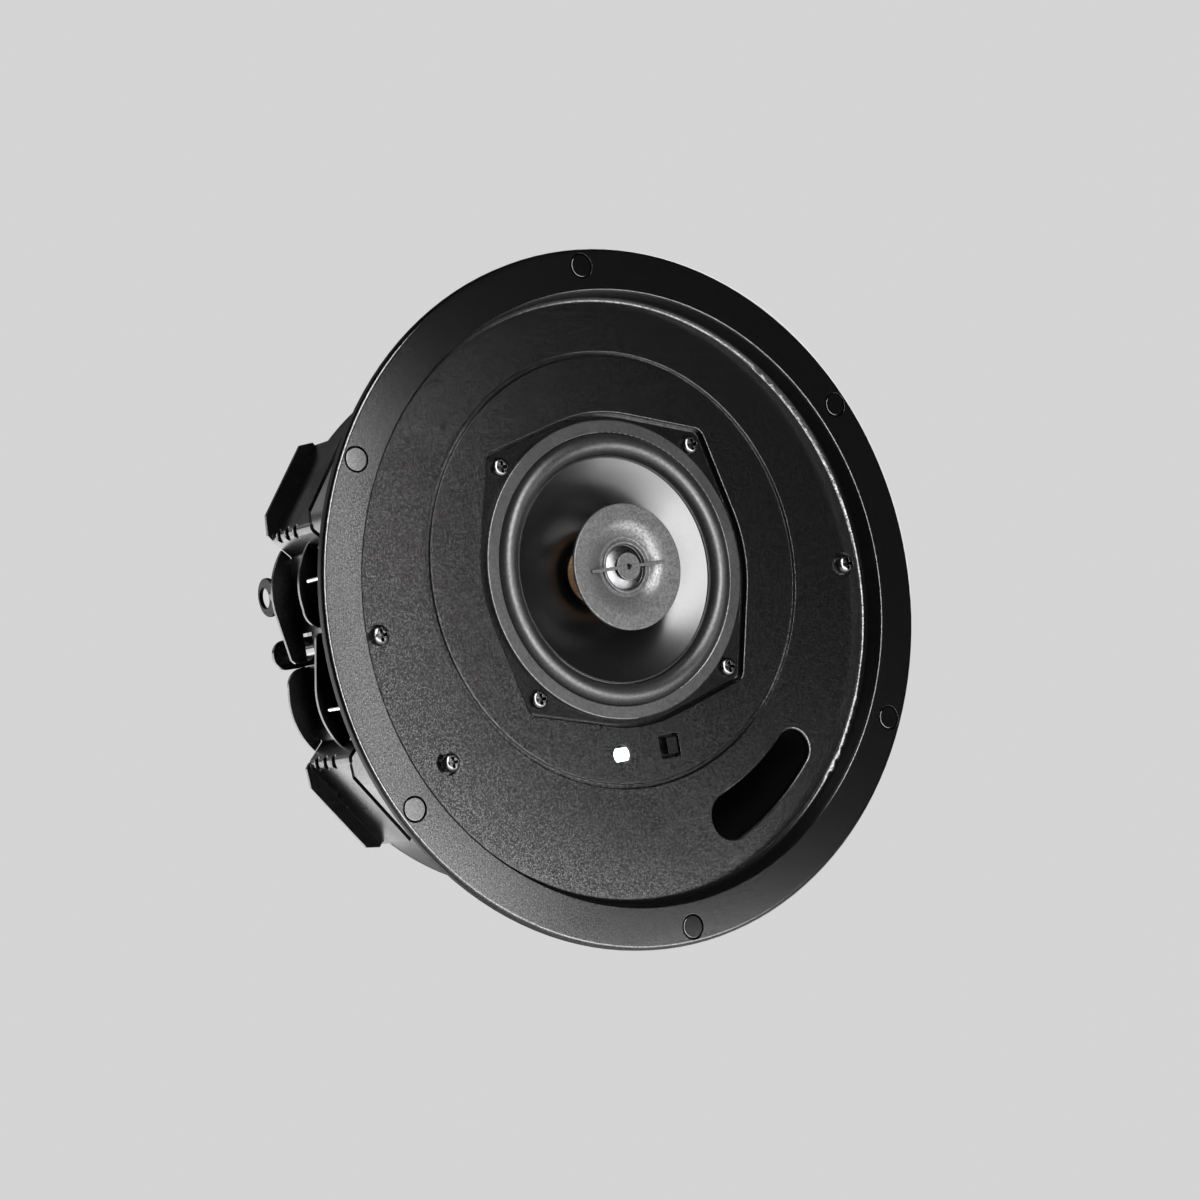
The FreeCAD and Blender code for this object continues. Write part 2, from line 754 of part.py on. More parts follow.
def surround():
    """Half roll between the trim ring and the cone, with a flat foot under the ring."""
    inner = cone_r + bond_line
    outer = trim_ring_inner_r - bond_line
    middle = (inner + outer) / 2
    roll_r = (outer - inner) / 2
    foot_back = surround_y + surround_thick
    crown = foot_back - roll_r
    rim = trim_ring_inner_r + surround_foot - bond_line

    def arc(a, b, c):
        return Part.Arc(*[Vector(p[0], p[1], 0) for p in (a, b, c)]).toShape()

    def line(a, b):
        return Part.LineSegment(Vector(a[0], a[1], 0), Vector(b[0], b[1], 0)).toShape()

    thick = surround_thick
    skin = [arc((inner, foot_back), (middle, crown), (outer, foot_back)),
            line((outer, foot_back), (rim, foot_back)), line((rim, foot_back), (rim, surround_y)),
            line((rim, surround_y), (outer + thick, surround_y)),
            line((outer + thick, surround_y), (outer, surround_y))]
    lift = surround_y - foot_back
    skin.append(arc((outer, surround_y), (middle, crown + lift), (inner, surround_y)))
    skin.append(line((inner, surround_y), (inner, foot_back)))
    solid = Part.Face(Part.Wire(skin)).revolve(Vector(0, 0, 0), Vector(0, 1, 0), 360)
    solid.translate(Vector(0, 0, driver_z))
    return solid


def cone():
    """Curved cone from the surround to the neck, with a raised bead along its rim."""
    front = [(cone_r, cone_rim_y), (cone_mid_r, cone_rim_y + cone_mid_depth), (cone_neck_r, neck_y)]
    back = [(r, y + cone_thick) for r, y in front]
    front_arc = Part.Arc(*[Vector(r, y, 0) for r, y in front]).toShape()
    back_arc = Part.Arc(*[Vector(r, y, 0) for r, y in back[::-1]]).toShape()
    neck = Part.LineSegment(Vector(*front[2], 0), Vector(*back[2], 0)).toShape()
    rim = Part.LineSegment(Vector(*back[0], 0), Vector(*front[0], 0)).toShape()
    wire = Part.Wire([front_arc, neck, back_arc, rim])
    solid = Part.Face(wire).revolve(Vector(0, 0, 0), Vector(0, 1, 0), 360)
    solid.translate(Vector(0, 0, driver_z))
    bead_front = cone_rim_y - cone_bead_height
    bead_in = cone_r - cone_bead
    bead = turned([(bead_in, bead_front, 0.25), (cone_r, bead_front, 0.25), (cone_r, cone_rim_y + cone_thick / 2),
                   (bead_in, cone_rim_y + cone_thick)], 0, driver_z)
    return solid.fuse(bead)


def spider():
    """Corrugated disc that centres the voice coil."""
    inner = cone_neck_r
    flat = spider_r - 6.5
    start = inner + 1.5
    step = (flat - start) / (2 * spider_waves)
    front = [(inner, spider_y), (start, spider_y)]
    for i in range(1, 2 * spider_waves):
        lift = -spider_wave_height / 2 if i % 2 else spider_wave_height / 2
        front.append((start + i * step, spider_y + lift, step / 3))
    front += [(flat, spider_y), (spider_r, spider_y)]
    back = [(c[0], c[1] + spider_thick) + tuple(c[2:]) for c in front]
    return turned(front + back[::-1], 0, driver_z)


def coil_former():
    return tube(former_r, former_r - former_wall, former_y, former_y + former_length, 0, driver_z)


def coil_winding():
    end = former_y + former_length
    inner = former_r + bond_line
    return tube(inner + winding_thick, inner, end - winding_length, end, 0, driver_z)


def top_plate():
    return tube(top_plate_r, top_plate_bore_r, top_plate_y, ferrite_y, 0, driver_z)


def ferrite_ring():
    return turned([(ferrite_bore_r, ferrite_y), (ferrite_r, ferrite_y, 1.0), (ferrite_r, yoke_y, 1.0),
                   (ferrite_bore_r, yoke_y)], 0, driver_z)


def yoke():
    yoke_back = yoke_y + yoke_thick
    solid = turned([(0, top_plate_y), (pole_r, top_plate_y), (pole_r, yoke_y), (yoke_r, yoke_y),
                    (yoke_r, yoke_back, 1.5), (0, yoke_back)], 0, driver_z)
    return solid.cut(rod(stud_r + thread_clearance, top_plate_y, top_plate_y + stud_length + 1, 0, driver_z))


def driver_screws():
    sizes = (driver_screw_r, driver_screw_head_r, driver_screw_head, driver_screw_length)
    return [screw(x, z, frame_front, -1, *sizes) for x, z in driver_screw_places]


# Tweeter

def tweeter_post():
    start = cup_y + cup_depth
    solid = turned([(0, start), (post_r, start), (post_r, top_plate_y), (stud_r, top_plate_y),
                    (stud_r, top_plate_y + stud_length), (0, top_plate_y + stud_length)], 0, driver_z)
    return solid


def tweeter_cup():
    back = cup_y + cup_depth
    return turned([(cup_r, cup_y), (cup_r, back, 1.5), (0, back), (0, back - cup_floor),
                   (cup_r - cup_wall, back - cup_floor), (cup_r - cup_wall, cup_y)], 0, driver_z)


def tweeter_magnet():
    back = cup_y + cup_depth - cup_floor
    return turned([(0, back - tweeter_magnet_thick), (tweeter_magnet_r, back - tweeter_magnet_thick, 0.5),
                   (tweeter_magnet_r, back), (0, back)], 0, driver_z)


def tweeter_waveguide():
    """Thin-edged front disc with a rounded flare, and a raised lip around the dome."""
    throat = tweeter_y + flare_depth
    lip_front = throat - lip_rise
    lip_back = throat - dome_travel_room / 2
    hub_r = cup_r - cup_wall - thread_clearance
    hub_back = throat + 0.8
    profile = [(tweeter_r, tweeter_y, tweeter_edge_round), (tweeter_r, tweeter_y + tweeter_rim, 0.4),
               (cup_r + 2.0, cup_y), (hub_r, cup_y), (hub_r, hub_back), (flare_throat_r, hub_back),
               (flare_throat_r, lip_back), (lip_inner_r, lip_back), (lip_inner_r, lip_front, 0.4),
               (lip_outer_r, lip_front, 0.4), (lip_outer_r, throat), (flare_foot_r, throat, 0.6),
               (flare_mouth_r, tweeter_y, flare_mouth_round)]
    return turned(profile, 0, driver_z)


def tweeter_dome():
    """Thin metal cap with a flat rim, held just behind the throat."""
    rim_front = tweeter_y + flare_depth + 0.2
    rim_back = rim_front + dome_rim
    edge_r = flare_throat_r - screw_clearance
    ball_r = (dome_r ** 2 + dome_height ** 2) / (2 * dome_height)
    centre = Vector(0, rim_back + ball_r - dome_height, driver_z)
    cap_room = rod(dome_r, rim_back - dome_height - 1, rim_back, 0, driver_z)
    cap = Part.makeSphere(ball_r, centre).cut(Part.makeSphere(ball_r - dome_wall, centre)).common(cap_room)
    rim = tube(edge_r, dome_r - 0.6, rim_front, rim_back, 0, driver_z)
    inside = Part.makeSphere(ball_r - dome_wall, centre)
    return cap.fuse(rim.cut(inside))


def phase_plug():
    """Small disc in front of the dome, carried by a thin bar across the flare."""
    bar_front = tweeter_y - bridge_thick
    bar = box((-bridge_half, bar_front, driver_z - bridge_height / 2),
              (bridge_half, tweeter_y, driver_z + bridge_height / 2))
    middle = (bar_front + tweeter_y) / 2
    button = turned([(0, middle), (plug_r, middle, 0.3), (plug_r, middle + plug_thick), (0, middle + plug_thick)],
                    0, driver_z)
    return bar.fuse(button).cut(rod(plug_hole_r, bar_front, middle + plug_thick, 0, driver_z))


# Port tube behind the slot

def port_tube():
    back = baffle_back + port_length
    wall = port_prism(port_wall, baffle_back, back)
    return wall.cut(port_prism(0, baffle_back, back))


# Ceiling clamps, drawn for the left side and turned half round to the right


def clamp_place(out, y, z):
    """Left side: out is the distance from the axis towards the left."""
    return Vector(-out, y, z)


def wing_point(u, y, n, sign):
    """Point on a wing: u along the wing, n out from the axis square to it. sign is 1 above and -1 below."""
    return clamp_place((n - u) * root_half, y, sign * (n + u) * root_half)


def offset_chain(points, distance):
    """Open chain of points moved square to itself, with mitred corners."""
    lines = []
    for a, b in zip(points, points[1:]):
        along = (b - a).normalize()
        shift = Vector(-along.y, along.x, 0) * distance
        lines.append((a + shift, along))
    moved = [lines[0][0]]
    for (p, d), (q, e) in zip(lines, lines[1:]):
        cross = d.x * e.y - d.y * e.x
        t = ((q.x - p.x) * e.y - (q.y - p.y) * e.x) / cross
        moved.append(p + d * t)
    last_point = points[-1]
    last_shift = lines[-1][0] - points[-2]
    moved.append(last_point + last_shift)
    return moved


crest_u = (crest_z - crest_out) * root_half
wing_end_u = crest_u + wing_end_from_crest
ramp_z = crest_z - (crest_out - web_out)


def rear_line(u):
    """Rear edge of a wing, where its lip is folded."""
    share = (u - crest_u) / wing_end_from_crest
    return wing_rear_at_crest + share * (wing_rear_at_end - wing_rear_at_crest)


def wing_prism(corners, low, high, sign):
    """Solid over an outline (u, y) on a wing, from the distance low to high out from the axis."""
    wire = Part.makePolygon([wing_point(u, y, low, sign) for u, y in corners + corners[:1]])
    reach = wing_point(0, 0, high, sign) - wing_point(0, 0, low, sign)
    return Part.Face(wire).extrude(reach)


def clamp_section():
    """Outer and inner lines of the folded sheet, across the axis, from the lower wing to the upper."""
    end_out = (wing_plane - wing_end_u) * root_half
    end_z = (wing_plane + wing_end_u) * root_half
    outer = [Vector(end_out, -end_z, 0), Vector(crest_out, -crest_z, 0), Vector(web_out, -ramp_z, 0),
             Vector(web_out, ramp_z, 0), Vector(crest_out, crest_z, 0), Vector(end_out, end_z, 0)]
    return outer, offset_chain(outer, clamp_sheet)


def clamp_lip(sign):
    """Stiffening lip folded outwards along a wing's rear edge, with cut corners."""
    start = crest_u
    end = wing_end_u
    outline = [(start, -clamp_sheet), (end, -clamp_sheet), (end, lip_height - lip_corner),
               (end - lip_corner_run, lip_height), (start + lip_corner_run, lip_height),
               (start, lip_height - lip_corner)]
    lean = lip_lean / lip_height
    points = [wing_point(u, rear_line(u) - h * lean, wing_plane + h, sign) for u, h in outline]
    face = Part.Face(Part.makePolygon(points + points[:1]))
    return face.extrude(Vector(0, -clamp_sheet, 0))


def clamp_leaf(front, sign, runs_past):
    """Stiffening flange on an edge of the web, square to the axis. A long one runs past the middle."""
    root = web_out - clamp_sheet / 2
    tip_z = crest_z - leaf_tip_from_crest
    tip = clamp_place(crest_out - leaf_tip_from_crest - clamp_sheet / 2, front, sign * tip_z)
    swell = clamp_place(web_out + 0.97 * leaf_height, front, sign * (leaf_broad + tip_z) / 2)
    broad = clamp_place(web_out + leaf_height, front, sign * leaf_broad)
    fold = clamp_place(root, front, sign * ramp_z)
    edges = [Part.LineSegment(fold, tip).toShape(), Part.Arc(tip, swell, broad).toShape()]
    if runs_past:
        end_z = -long_leaf_past
        before = clamp_place(web_out + long_leaf_height, front, sign * (end_z + long_leaf_corner))
        after = clamp_place(web_out + long_leaf_height - long_leaf_corner, front, sign * end_z)
        base = clamp_place(root, front, sign * end_z)
        edges += [Part.LineSegment(a, b).toShape() for a, b in ((broad, before), (before, after), (after, base))]
    else:
        turn = clamp_place(web_out + 0.75 * leaf_height, front, sign * (leaf_end + 0.25 * (leaf_broad - leaf_end)))
        end = clamp_place(web_out, front, sign * leaf_end)
        base = clamp_place(root, front, sign * leaf_end)
        edges += [Part.Arc(broad, turn, end).toShape(), Part.LineSegment(end, base).toShape()]
    edges.append(Part.LineSegment(base, fold).toShape())
    return Part.Face(Part.Wire(edges)).extrude(Vector(0, clamp_sheet, 0))


def clamp_bracket():
    outer, inner = clamp_section()
    tight = clamp_bend
    wide = clamp_bend + clamp_sheet
    bends_outer = (0, wide, tight, tight, wide, 0)
    bends_inner = (0, tight, wide, wide, tight, 0)
    corners = [(p.x, p.y, r) for p, r in zip(outer, bends_outer)]
    corners += [(p.x, p.y, r) for p, r in zip(inner[::-1], bends_inner[::-1])]
    length = Vector(0, wing_rear_at_end - crest_front, 0)
    sheet_wire = rounded_wire(corners, lambda o, z: clamp_place(o, crest_front, z))
    sheet = Part.Face(sheet_wire).extrude(length)
    fill_corners = [(p.x, p.y, r) for p, r in zip(outer, bends_outer)]
    fill_wire = rounded_wire(fill_corners, lambda o, z: clamp_place(o, crest_front, z))
    fill = Part.Face(fill_wire).extrude(length)
    adds = []
    cuts = []
    for sign in (-1, 1):
        dart_axis = Vector(0, 0, 1)
        for i in range(dart_count):
            start = clamp_place(crest_out - 0.45 * dart_r, dart_first_y + i * dart_pitch, sign * crest_z - dart_half)
            adds.append(Part.makeCylinder(dart_r + clamp_sheet, 2 * dart_half, start, dart_axis).common(fill))
            cuts.append(Part.makeCylinder(dart_r, 2 * dart_half, start, dart_axis))
        step_u = crest_u + wing_step_from_crest
        past_u = wing_end_u + 2
        past_front = wing_end_front + 2 * (wing_end_front - wing_step_front) / (wing_end_u - step_u)
        first_u = crest_u + 2.5
        front = [(first_u, crest_front - 5), (first_u, crest_front + 1), (step_u, wing_step_front),
                 (past_u, past_front), (past_u, crest_front - 5)]
        cuts.append(wing_prism(front, wing_plane - wing_cut_out, wing_plane + wing_cut_out, sign))
        before_u = crest_u - 0.5
        rear = [(before_u, rear_line(before_u)), (past_u, rear_line(past_u)),
                (past_u, wing_rear_at_end + 10), (before_u, wing_rear_at_end + 10)]
        cuts.append(wing_prism(rear, wing_plane - wing_cut_in, wing_plane + wing_cut_out, sign))
    low_out = web_out - web_cut_in
    high_out = crest_out + 1
    cuts.append(box((-high_out, crest_front - 1, -ramp_z - 1), (-low_out, web_front, ramp_z + 1)))
    cuts.append(box((-high_out, web_rear, -crest_z), (-low_out, wing_rear_at_end + 1, crest_z)))
    cuts.append(box((-high_out, web_notch_front, -web_notch), (-low_out, web_rear, web_notch)))
    bracket = sheet.fuse(adds).cut(cuts)
    folds = []
    for sign in (-1, 1):
        folds.append(clamp_lip(sign))
        folds.append(clamp_leaf(web_front, sign, sign < 0))
        folds.append(clamp_leaf(web_rear - clamp_sheet, sign, sign > 0))
    tab_back = nut_tab_y + clamp_sheet
    tab = box((-web_out + clamp_sheet / 2, nut_tab_y, -nut_tab_half), (-nut_tab_in, tab_back, nut_tab_half))
    folds.append(tab.cut(rod(clamp_screw_r + screw_clearance, nut_tab_y, tab_back, -clamp_screw_x)))
    return bracket.fuse(folds)


def clamp_nut():
    front = nut_tab_y + clamp_sheet
    nut = hexagon(nut_flats, front, front + nut_thick, -clamp_screw_x)
    return nut.cut(rod(clamp_screw_r + thread_clearance, front, front + nut_thick, -clamp_screw_x))


def clamp_screw():
    seat = face_y + clamp_bore_depth
    return screw(-clamp_screw_x, 0, seat, -1, clamp_screw_r, clamp_head_r, clamp_head, clamp_screw_end - seat)


def screw_end_bracket(with_eye):
    """Angle on the can's flat side, with a tab for the screw's tail and one for the safety eye."""
    back = end_plate_y + end_sheet
    eye_half = eye_collar_r + eye_tab_border
    top = eye_z + eye_half if with_eye else end_tab_half
    foot = box((-can_flat - end_sheet, back - end_foot_length, -end_tab_half), (-can_flat, back, top))
    tab = plate([(-can_flat, -end_tab_half), (-can_flat, end_tab_half), (-end_tab_out, end_tab_half, end_tab_half - 0.2),
                 (-end_tab_out, -end_tab_half, end_tab_half - 0.2)], end_plate_y, back)
    solids = [tab]
    holes = [rod(bush_spigot_r + thread_clearance, end_plate_y, back, -clamp_screw_x)]
    if with_eye:
        reach = eye_out + eye_half
        solids.append(plate([(-can_flat, eye_z - eye_half), (-can_flat, top), (-reach, top, eye_half - 0.2),
                             (-reach, eye_z - eye_half, eye_half - 0.2)], end_plate_y, back))
        holes.append(rod(eye_stem_r + thread_clearance, end_plate_y, back, -eye_out, eye_z))
    return foot.fuse(solids).cut(holes)


def screw_bush():
    front = end_plate_y - bush_length
    back = end_plate_y + end_sheet
    bush = turned([(0, front), (bush_r, front, 0.6), (bush_r, end_plate_y), (bush_spigot_r, end_plate_y),
                   (bush_spigot_r, back), (0, back)], -clamp_screw_x)
    return bush.cut(rod(clamp_screw_r + bush_clearance, front, back, -clamp_screw_x))


def safety_eye():
    """Flat eye on a threaded stem, with its bore set towards the rear."""
    seat = end_plate_y + end_sheet
    centre_y = seat + eye_collar + eye_r - 0.8
    side = Vector(-1, 0, 0)
    start = -eye_out + eye_thick / 2
    disc = Part.makeCylinder(eye_r, eye_thick, Vector(start, centre_y, eye_z), side)
    disc = disc.makeFillet(0.5, [e for e in disc.Edges if e.Closed])
    bore = Part.makeCylinder(eye_bore_r, eye_thick, Vector(start, centre_y + eye_bore_shift, eye_z), side)
    collar = rod(eye_collar_r, seat, seat + eye_collar, -eye_out, eye_z)
    stem = rod(eye_stem_r, end_plate_y - eye_nut_thick - 1, seat, -eye_out, eye_z)
    return disc.fuse([collar, stem]).cut(bore)


def eye_nut():
    front = end_plate_y - eye_nut_thick
    nut = hexagon(eye_nut_flats, front, end_plate_y, -eye_out, eye_z)
    return nut.cut(rod(eye_stem_r + thread_clearance, front, end_plate_y, -eye_out, eye_z))


def locating_pins():
    pins = []
    for x_sign, z_sign in corner_signs:
        x = x_sign * pin_x
        z = z_sign * pin_z
        pins.append(turned([(0, -pin_seat), (pin_r, -pin_seat), (pin_r, pin_reach, 0.5), (0, pin_reach)], x, z))
    return pins


def opposite(shape):
    """The same piece turned half round the axis, to the right side."""
    other = shape.copy()
    other.rotate(Vector(0, 0, 0), Vector(0, 1, 0), 180)
    return other


# Connector plate, amplifier board and what they carry

plate_half_x = plate_size[0] / 2 - plate_screw_inset
plate_half_z = plate_size[1] / 2 - plate_screw_inset
plate_screw_places = [(sx * plate_half_x, plate_z + sz * plate_half_z) for sx, sz in corner_signs]
standoff_places = [(sx * standoff_x, plate_z + sz * standoff_z) for sx, sz in corner_signs]
plate_back = panel_back + plate_sheet
saddle_places = [(saddle_x + sign * saddle_screw_half, saddle_z) for sign in (-1, 1)]


def connector_plate():
    solid = plate(rectangle(*plate_size, 0, plate_z, plate_corner), panel_back, plate_back)
    jack_room = [side + 2 * cutout_gap for side in jack_size]
    cuts = [plate(rectangle(*jack_room, jack_x, plate_z), panel_back, plate_back)]
    for i in range(vent_count):
        z = plate_z + (i - (vent_count - 1) / 2) * vent_pitch
        cuts.append(plate(rectangle(*vent_size, vent_x, z, vent_size[1] / 2 - 0.05), panel_back, plate_back))
    for x, z in plate_screw_places:
        cuts.append(rod(small_screw_r + screw_clearance, panel_back, plate_back, x, z))
    for x, z in standoff_places + saddle_places:
        cuts.append(rod(small_pilot_r, panel_back, plate_back, x, z))
    return solid.cut(cuts)


def connector_plate_screws():
    sizes = (small_screw_r, small_screw_head_r, small_screw_head, plate_sheet + plate_screw_grip)
    return [screw(x, z, plate_back, 1, *sizes) for x, z in plate_screw_places]


def standoffs():
    front = board_y + board_thick
    return [hexagon(standoff_flats, front, panel_back, x, z) for x, z in standoff_places]


def standoff_screws():
    sizes = (small_screw_r, small_screw_head_r, small_screw_head, board_thick)
    return [screw(x, z, board_y, -1, *sizes) for x, z in standoff_places]


def amplifier_board():
    board = plate(rectangle(*amplifier_size, 0, plate_z, 2.0), board_y, board_y + board_thick)
    holes = [rod(small_pilot_r, board_y, board_y + board_thick, x, z) for x, z in standoff_places]
    return board.cut(holes)


def network_jack():
    front = board_y + board_thick
    back = plate_back + jack_proud
    body = plate(rectangle(*jack_size, jack_x, plate_z), front, back)
    mouth = plate(rectangle(*jack_port, jack_x, plate_z), back - jack_port_depth, back)
    latch_width = jack_port[0] / 3
    latch_z = plate_z - jack_port[1] / 2
    latch = plate(rectangle(latch_width, 3.0, jack_x, latch_z), back - jack_port_depth, back)
    return body.cut([mouth, latch])


def capacitors():
    front = board_y + board_thick
    row_z = plate_z + standoff_z - capacitor_r - 1
    cans = []
    for i in range(capacitor_count):
        x = (i - (capacitor_count - 1) / 2) * capacitor_pitch
        profile = [(0, front), (capacitor_r, front, 0.6), (capacitor_r, front + capacitor_height, 0.8),
                   (0, front + capacitor_height)]
        cans.append(turned(profile, x, row_z))
    return cans


def heat_sink():
    front = board_y + board_thick
    width, height = sink_size
    base = plate(rectangle(width, height, vent_x - 6, plate_z - 8), front, front + sink_base)
    fins = []
    pitch = (width - sink_fin) / (sink_fin_count - 1)
    for i in range(sink_fin_count):
        x = vent_x - 6 - width / 2 + sink_fin / 2 + i * pitch
        fins.append(plate(rectangle(sink_fin, height, x, plate_z - 8), front + sink_base, front + sink_height))
    return base.fuse(fins)


def cable_saddle():
    """Folded strap that holds a cable against the plate."""
    bore_half = saddle_bore[0] / 2
    rise = plate_back + saddle_bore[1]
    outer_half = bore_half + saddle_sheet
    span_half = saddle_span / 2
    low = plate_back
    chain = [(-span_half, low), (-bore_half, low), (-bore_half, rise, 2.0), (bore_half, rise, 2.0),
             (bore_half, low), (span_half, low), (span_half, low + saddle_sheet),
             (outer_half, low + saddle_sheet), (outer_half, rise + saddle_sheet, 2.0 + saddle_sheet),
             (-outer_half, rise + saddle_sheet, 2.0 + saddle_sheet), (-outer_half, low + saddle_sheet),
             (-span_half, low + saddle_sheet)]
    bottom = saddle_z - saddle_width / 2
    wire = rounded_wire(chain, lambda x, y: Vector(saddle_x + x, y, bottom))
    strap = Part.Face(wire).extrude(Vector(0, 0, saddle_width))
    holes = [rod(small_screw_r + screw_clearance, low, low + saddle_sheet, x, z) for x, z in saddle_places]
    return strap.cut(holes)


def saddle_screws():
    seat = plate_back + saddle_sheet
    length = saddle_sheet + plate_sheet
    sizes = (small_screw_r, small_screw_head_r, small_screw_head, length)
    return [screw(x, z, seat, 1, *sizes) for x, z in saddle_places]


def service_screw():
    seat = face_y - service_stand
    sizes = (service_screw_r, service_head_r, service_head, service_length)
    return screw(service_x, service_z, seat, -1, *sizes)


def grille_magnet(place):
    x, z = place
    back = bezel_front + magnet_thick
    return turned([(0, bezel_front), (magnet_r, bezel_front, 0.4), (magnet_r, back), (0, back)], x, z)


# Write every piece

save("front_baffle", front_baffle())
for number, place in enumerate(magnet_places, 1):
    save("grille_magnet_" + str(number), grille_magnet(place))
save("back_can", back_can())
save("can_gasket", can_gasket())
save("can_screws", can_screws())
save("driver_frame", driver_frame())
save("trim_ring", trim_ring())
save("surround", surround())
save("cone", cone())
save("spider", spider())
save("coil_former", coil_former())
save("coil_winding", coil_winding())
save("top_plate", top_plate())
save("ferrite_ring", ferrite_ring())
save("yoke", yoke())
save("driver_screws", driver_screws())
save("tweeter_post", tweeter_post())
save("tweeter_cup", tweeter_cup())
save("tweeter_magnet", tweeter_magnet())
save("tweeter_waveguide", tweeter_waveguide())
save("tweeter_dome", tweeter_dome())
save("phase_plug", phase_plug())
save("port_tube", port_tube())
save("status_light_pipe", light_pipe())
save("switch_case", switch_case_solid())
save("switch_knob", switch_knob())
save("indicator_board", indicator_board_solid())
save("indicator_board_screws", indicator_screws())
save("service_screw", service_screw())
save("connector_plate", connector_plate())
save("connector_plate_screws", connector_plate_screws())
save("board_standoffs", standoffs())
save("standoff_screws", standoff_screws())
save("amplifier_board", amplifier_board())
save("network_jack", network_jack())
save("board_capacitors", capacitors())
save("heat_sink", heat_sink())
save("cable_saddle", cable_saddle())
save("cable_saddle_screws", saddle_screws())
clamp_pieces = (("clamp_bracket", clamp_bracket()), ("clamp_nut", clamp_nut()), ("clamp_screw", clamp_screw()),
                ("clamp_screw_bush", screw_bush()))
for name, solid in clamp_pieces:
    save(name + "_left", solid)
    save(name + "_right", opposite(solid))
save("screw_end_bracket_left", screw_end_bracket(True))
save("screw_end_bracket_right", opposite(screw_end_bracket(False)))
save("safety_eye", safety_eye())
save("safety_eye_nut", eye_nut())
save("locating_pins", locating_pins())
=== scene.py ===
import json
import math

import bmesh
import bpy
from mathutils import Matrix, Vector


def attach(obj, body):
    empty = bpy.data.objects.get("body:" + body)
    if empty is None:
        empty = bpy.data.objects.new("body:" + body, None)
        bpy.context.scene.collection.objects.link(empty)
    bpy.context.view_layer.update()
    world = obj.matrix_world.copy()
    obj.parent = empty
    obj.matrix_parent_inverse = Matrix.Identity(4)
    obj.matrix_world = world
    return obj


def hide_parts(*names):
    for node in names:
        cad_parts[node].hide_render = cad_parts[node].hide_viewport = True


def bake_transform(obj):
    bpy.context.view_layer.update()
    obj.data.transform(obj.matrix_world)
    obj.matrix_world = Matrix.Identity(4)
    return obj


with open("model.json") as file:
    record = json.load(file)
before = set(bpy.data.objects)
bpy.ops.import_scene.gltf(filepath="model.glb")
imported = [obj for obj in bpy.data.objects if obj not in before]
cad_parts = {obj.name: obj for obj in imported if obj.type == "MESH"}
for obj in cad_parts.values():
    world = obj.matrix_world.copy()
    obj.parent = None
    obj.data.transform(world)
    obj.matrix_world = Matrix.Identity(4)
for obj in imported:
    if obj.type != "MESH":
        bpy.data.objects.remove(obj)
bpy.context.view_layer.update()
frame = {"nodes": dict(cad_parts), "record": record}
nodes = frame["nodes"]
print("stage: frame loaded")


# Materials

def newMaterial(name):
    mat = bpy.data.materials.new(name)
    mat.use_nodes = True
    tree = mat.node_tree
    return mat, tree, tree.nodes["Principled BSDF"]


# A value goes to the node's own setting of that name, or else to its socket
def addNode(tree, kind, **values):
    node = tree.nodes.new(kind)
    for key, value in values.items():
        if hasattr(node, key):
            setattr(node, key, value)
        else:
            node.inputs[key].default_value = value
    return node


def coordinates(tree):
    return addNode(tree, "ShaderNodeTexCoord").outputs["Object"]


def noise(tree, coords, scale, detail=2.0, roughness=0.5):
    node = addNode(tree, "ShaderNodeTexNoise", Scale=scale, Detail=detail, Roughness=roughness)
    tree.links.new(coords, node.inputs["Vector"])
    return node.outputs["Fac"]


def spread(tree, source, low, high, outLow, outHigh):
    node = addNode(tree, "ShaderNodeMapRange")
    for key, value in zip(("From Min", "From Max", "To Min", "To Max"), (low, high, outLow, outHigh)):
        node.inputs[key].default_value = value
    tree.links.new(source, node.inputs["Value"])
    return node.outputs["Result"]


def ramp(tree, source, stops):
    node = addNode(tree, "ShaderNodeValToRGB")
    bar = node.color_ramp
    while len(bar.elements) < len(stops):
        bar.elements.new(0.5)
    for element, (place, color) in zip(bar.elements, stops):
        element.position = place
        element.color = (color[0], color[1], color[2], 1.0)
    tree.links.new(source, node.inputs["Fac"])
    return node.outputs["Color"]


def bump(tree, height, distance, normal=None, strength=1.0):
    node = addNode(tree, "ShaderNodeBump", Distance=distance)
    if isinstance(strength, float):
        node.inputs["Strength"].default_value = strength
    else:
        tree.links.new(strength, node.inputs["Strength"])
    tree.links.new(height, node.inputs["Height"])
    if normal is not None:
        tree.links.new(normal, node.inputs["Normal"])
    return node.outputs["Normal"]


def softEdge(tree, radius):
    return addNode(tree, "ShaderNodeBevel", samples=4, Radius=radius).outputs["Normal"]


def multiplied(tree, first, second):
    node = addNode(tree, "ShaderNodeMath", operation="MULTIPLY")
    tree.links.new(first, node.inputs[0])
    tree.links.new(second, node.inputs[1])
    return node.outputs[0]


# From the first value to a fixed one, by weight
def mixed(tree, weight, first, fixed):
    node = addNode(tree, "ShaderNodeMix", data_type="FLOAT")
    node.inputs["B"].default_value = fixed
    tree.links.new(weight, node.inputs["Factor"])
    tree.links.new(first, node.inputs["A"])
    return node.outputs["Result"]


def tinted(color, factor):
    return tuple(min(1.0, c * factor) for c in color)


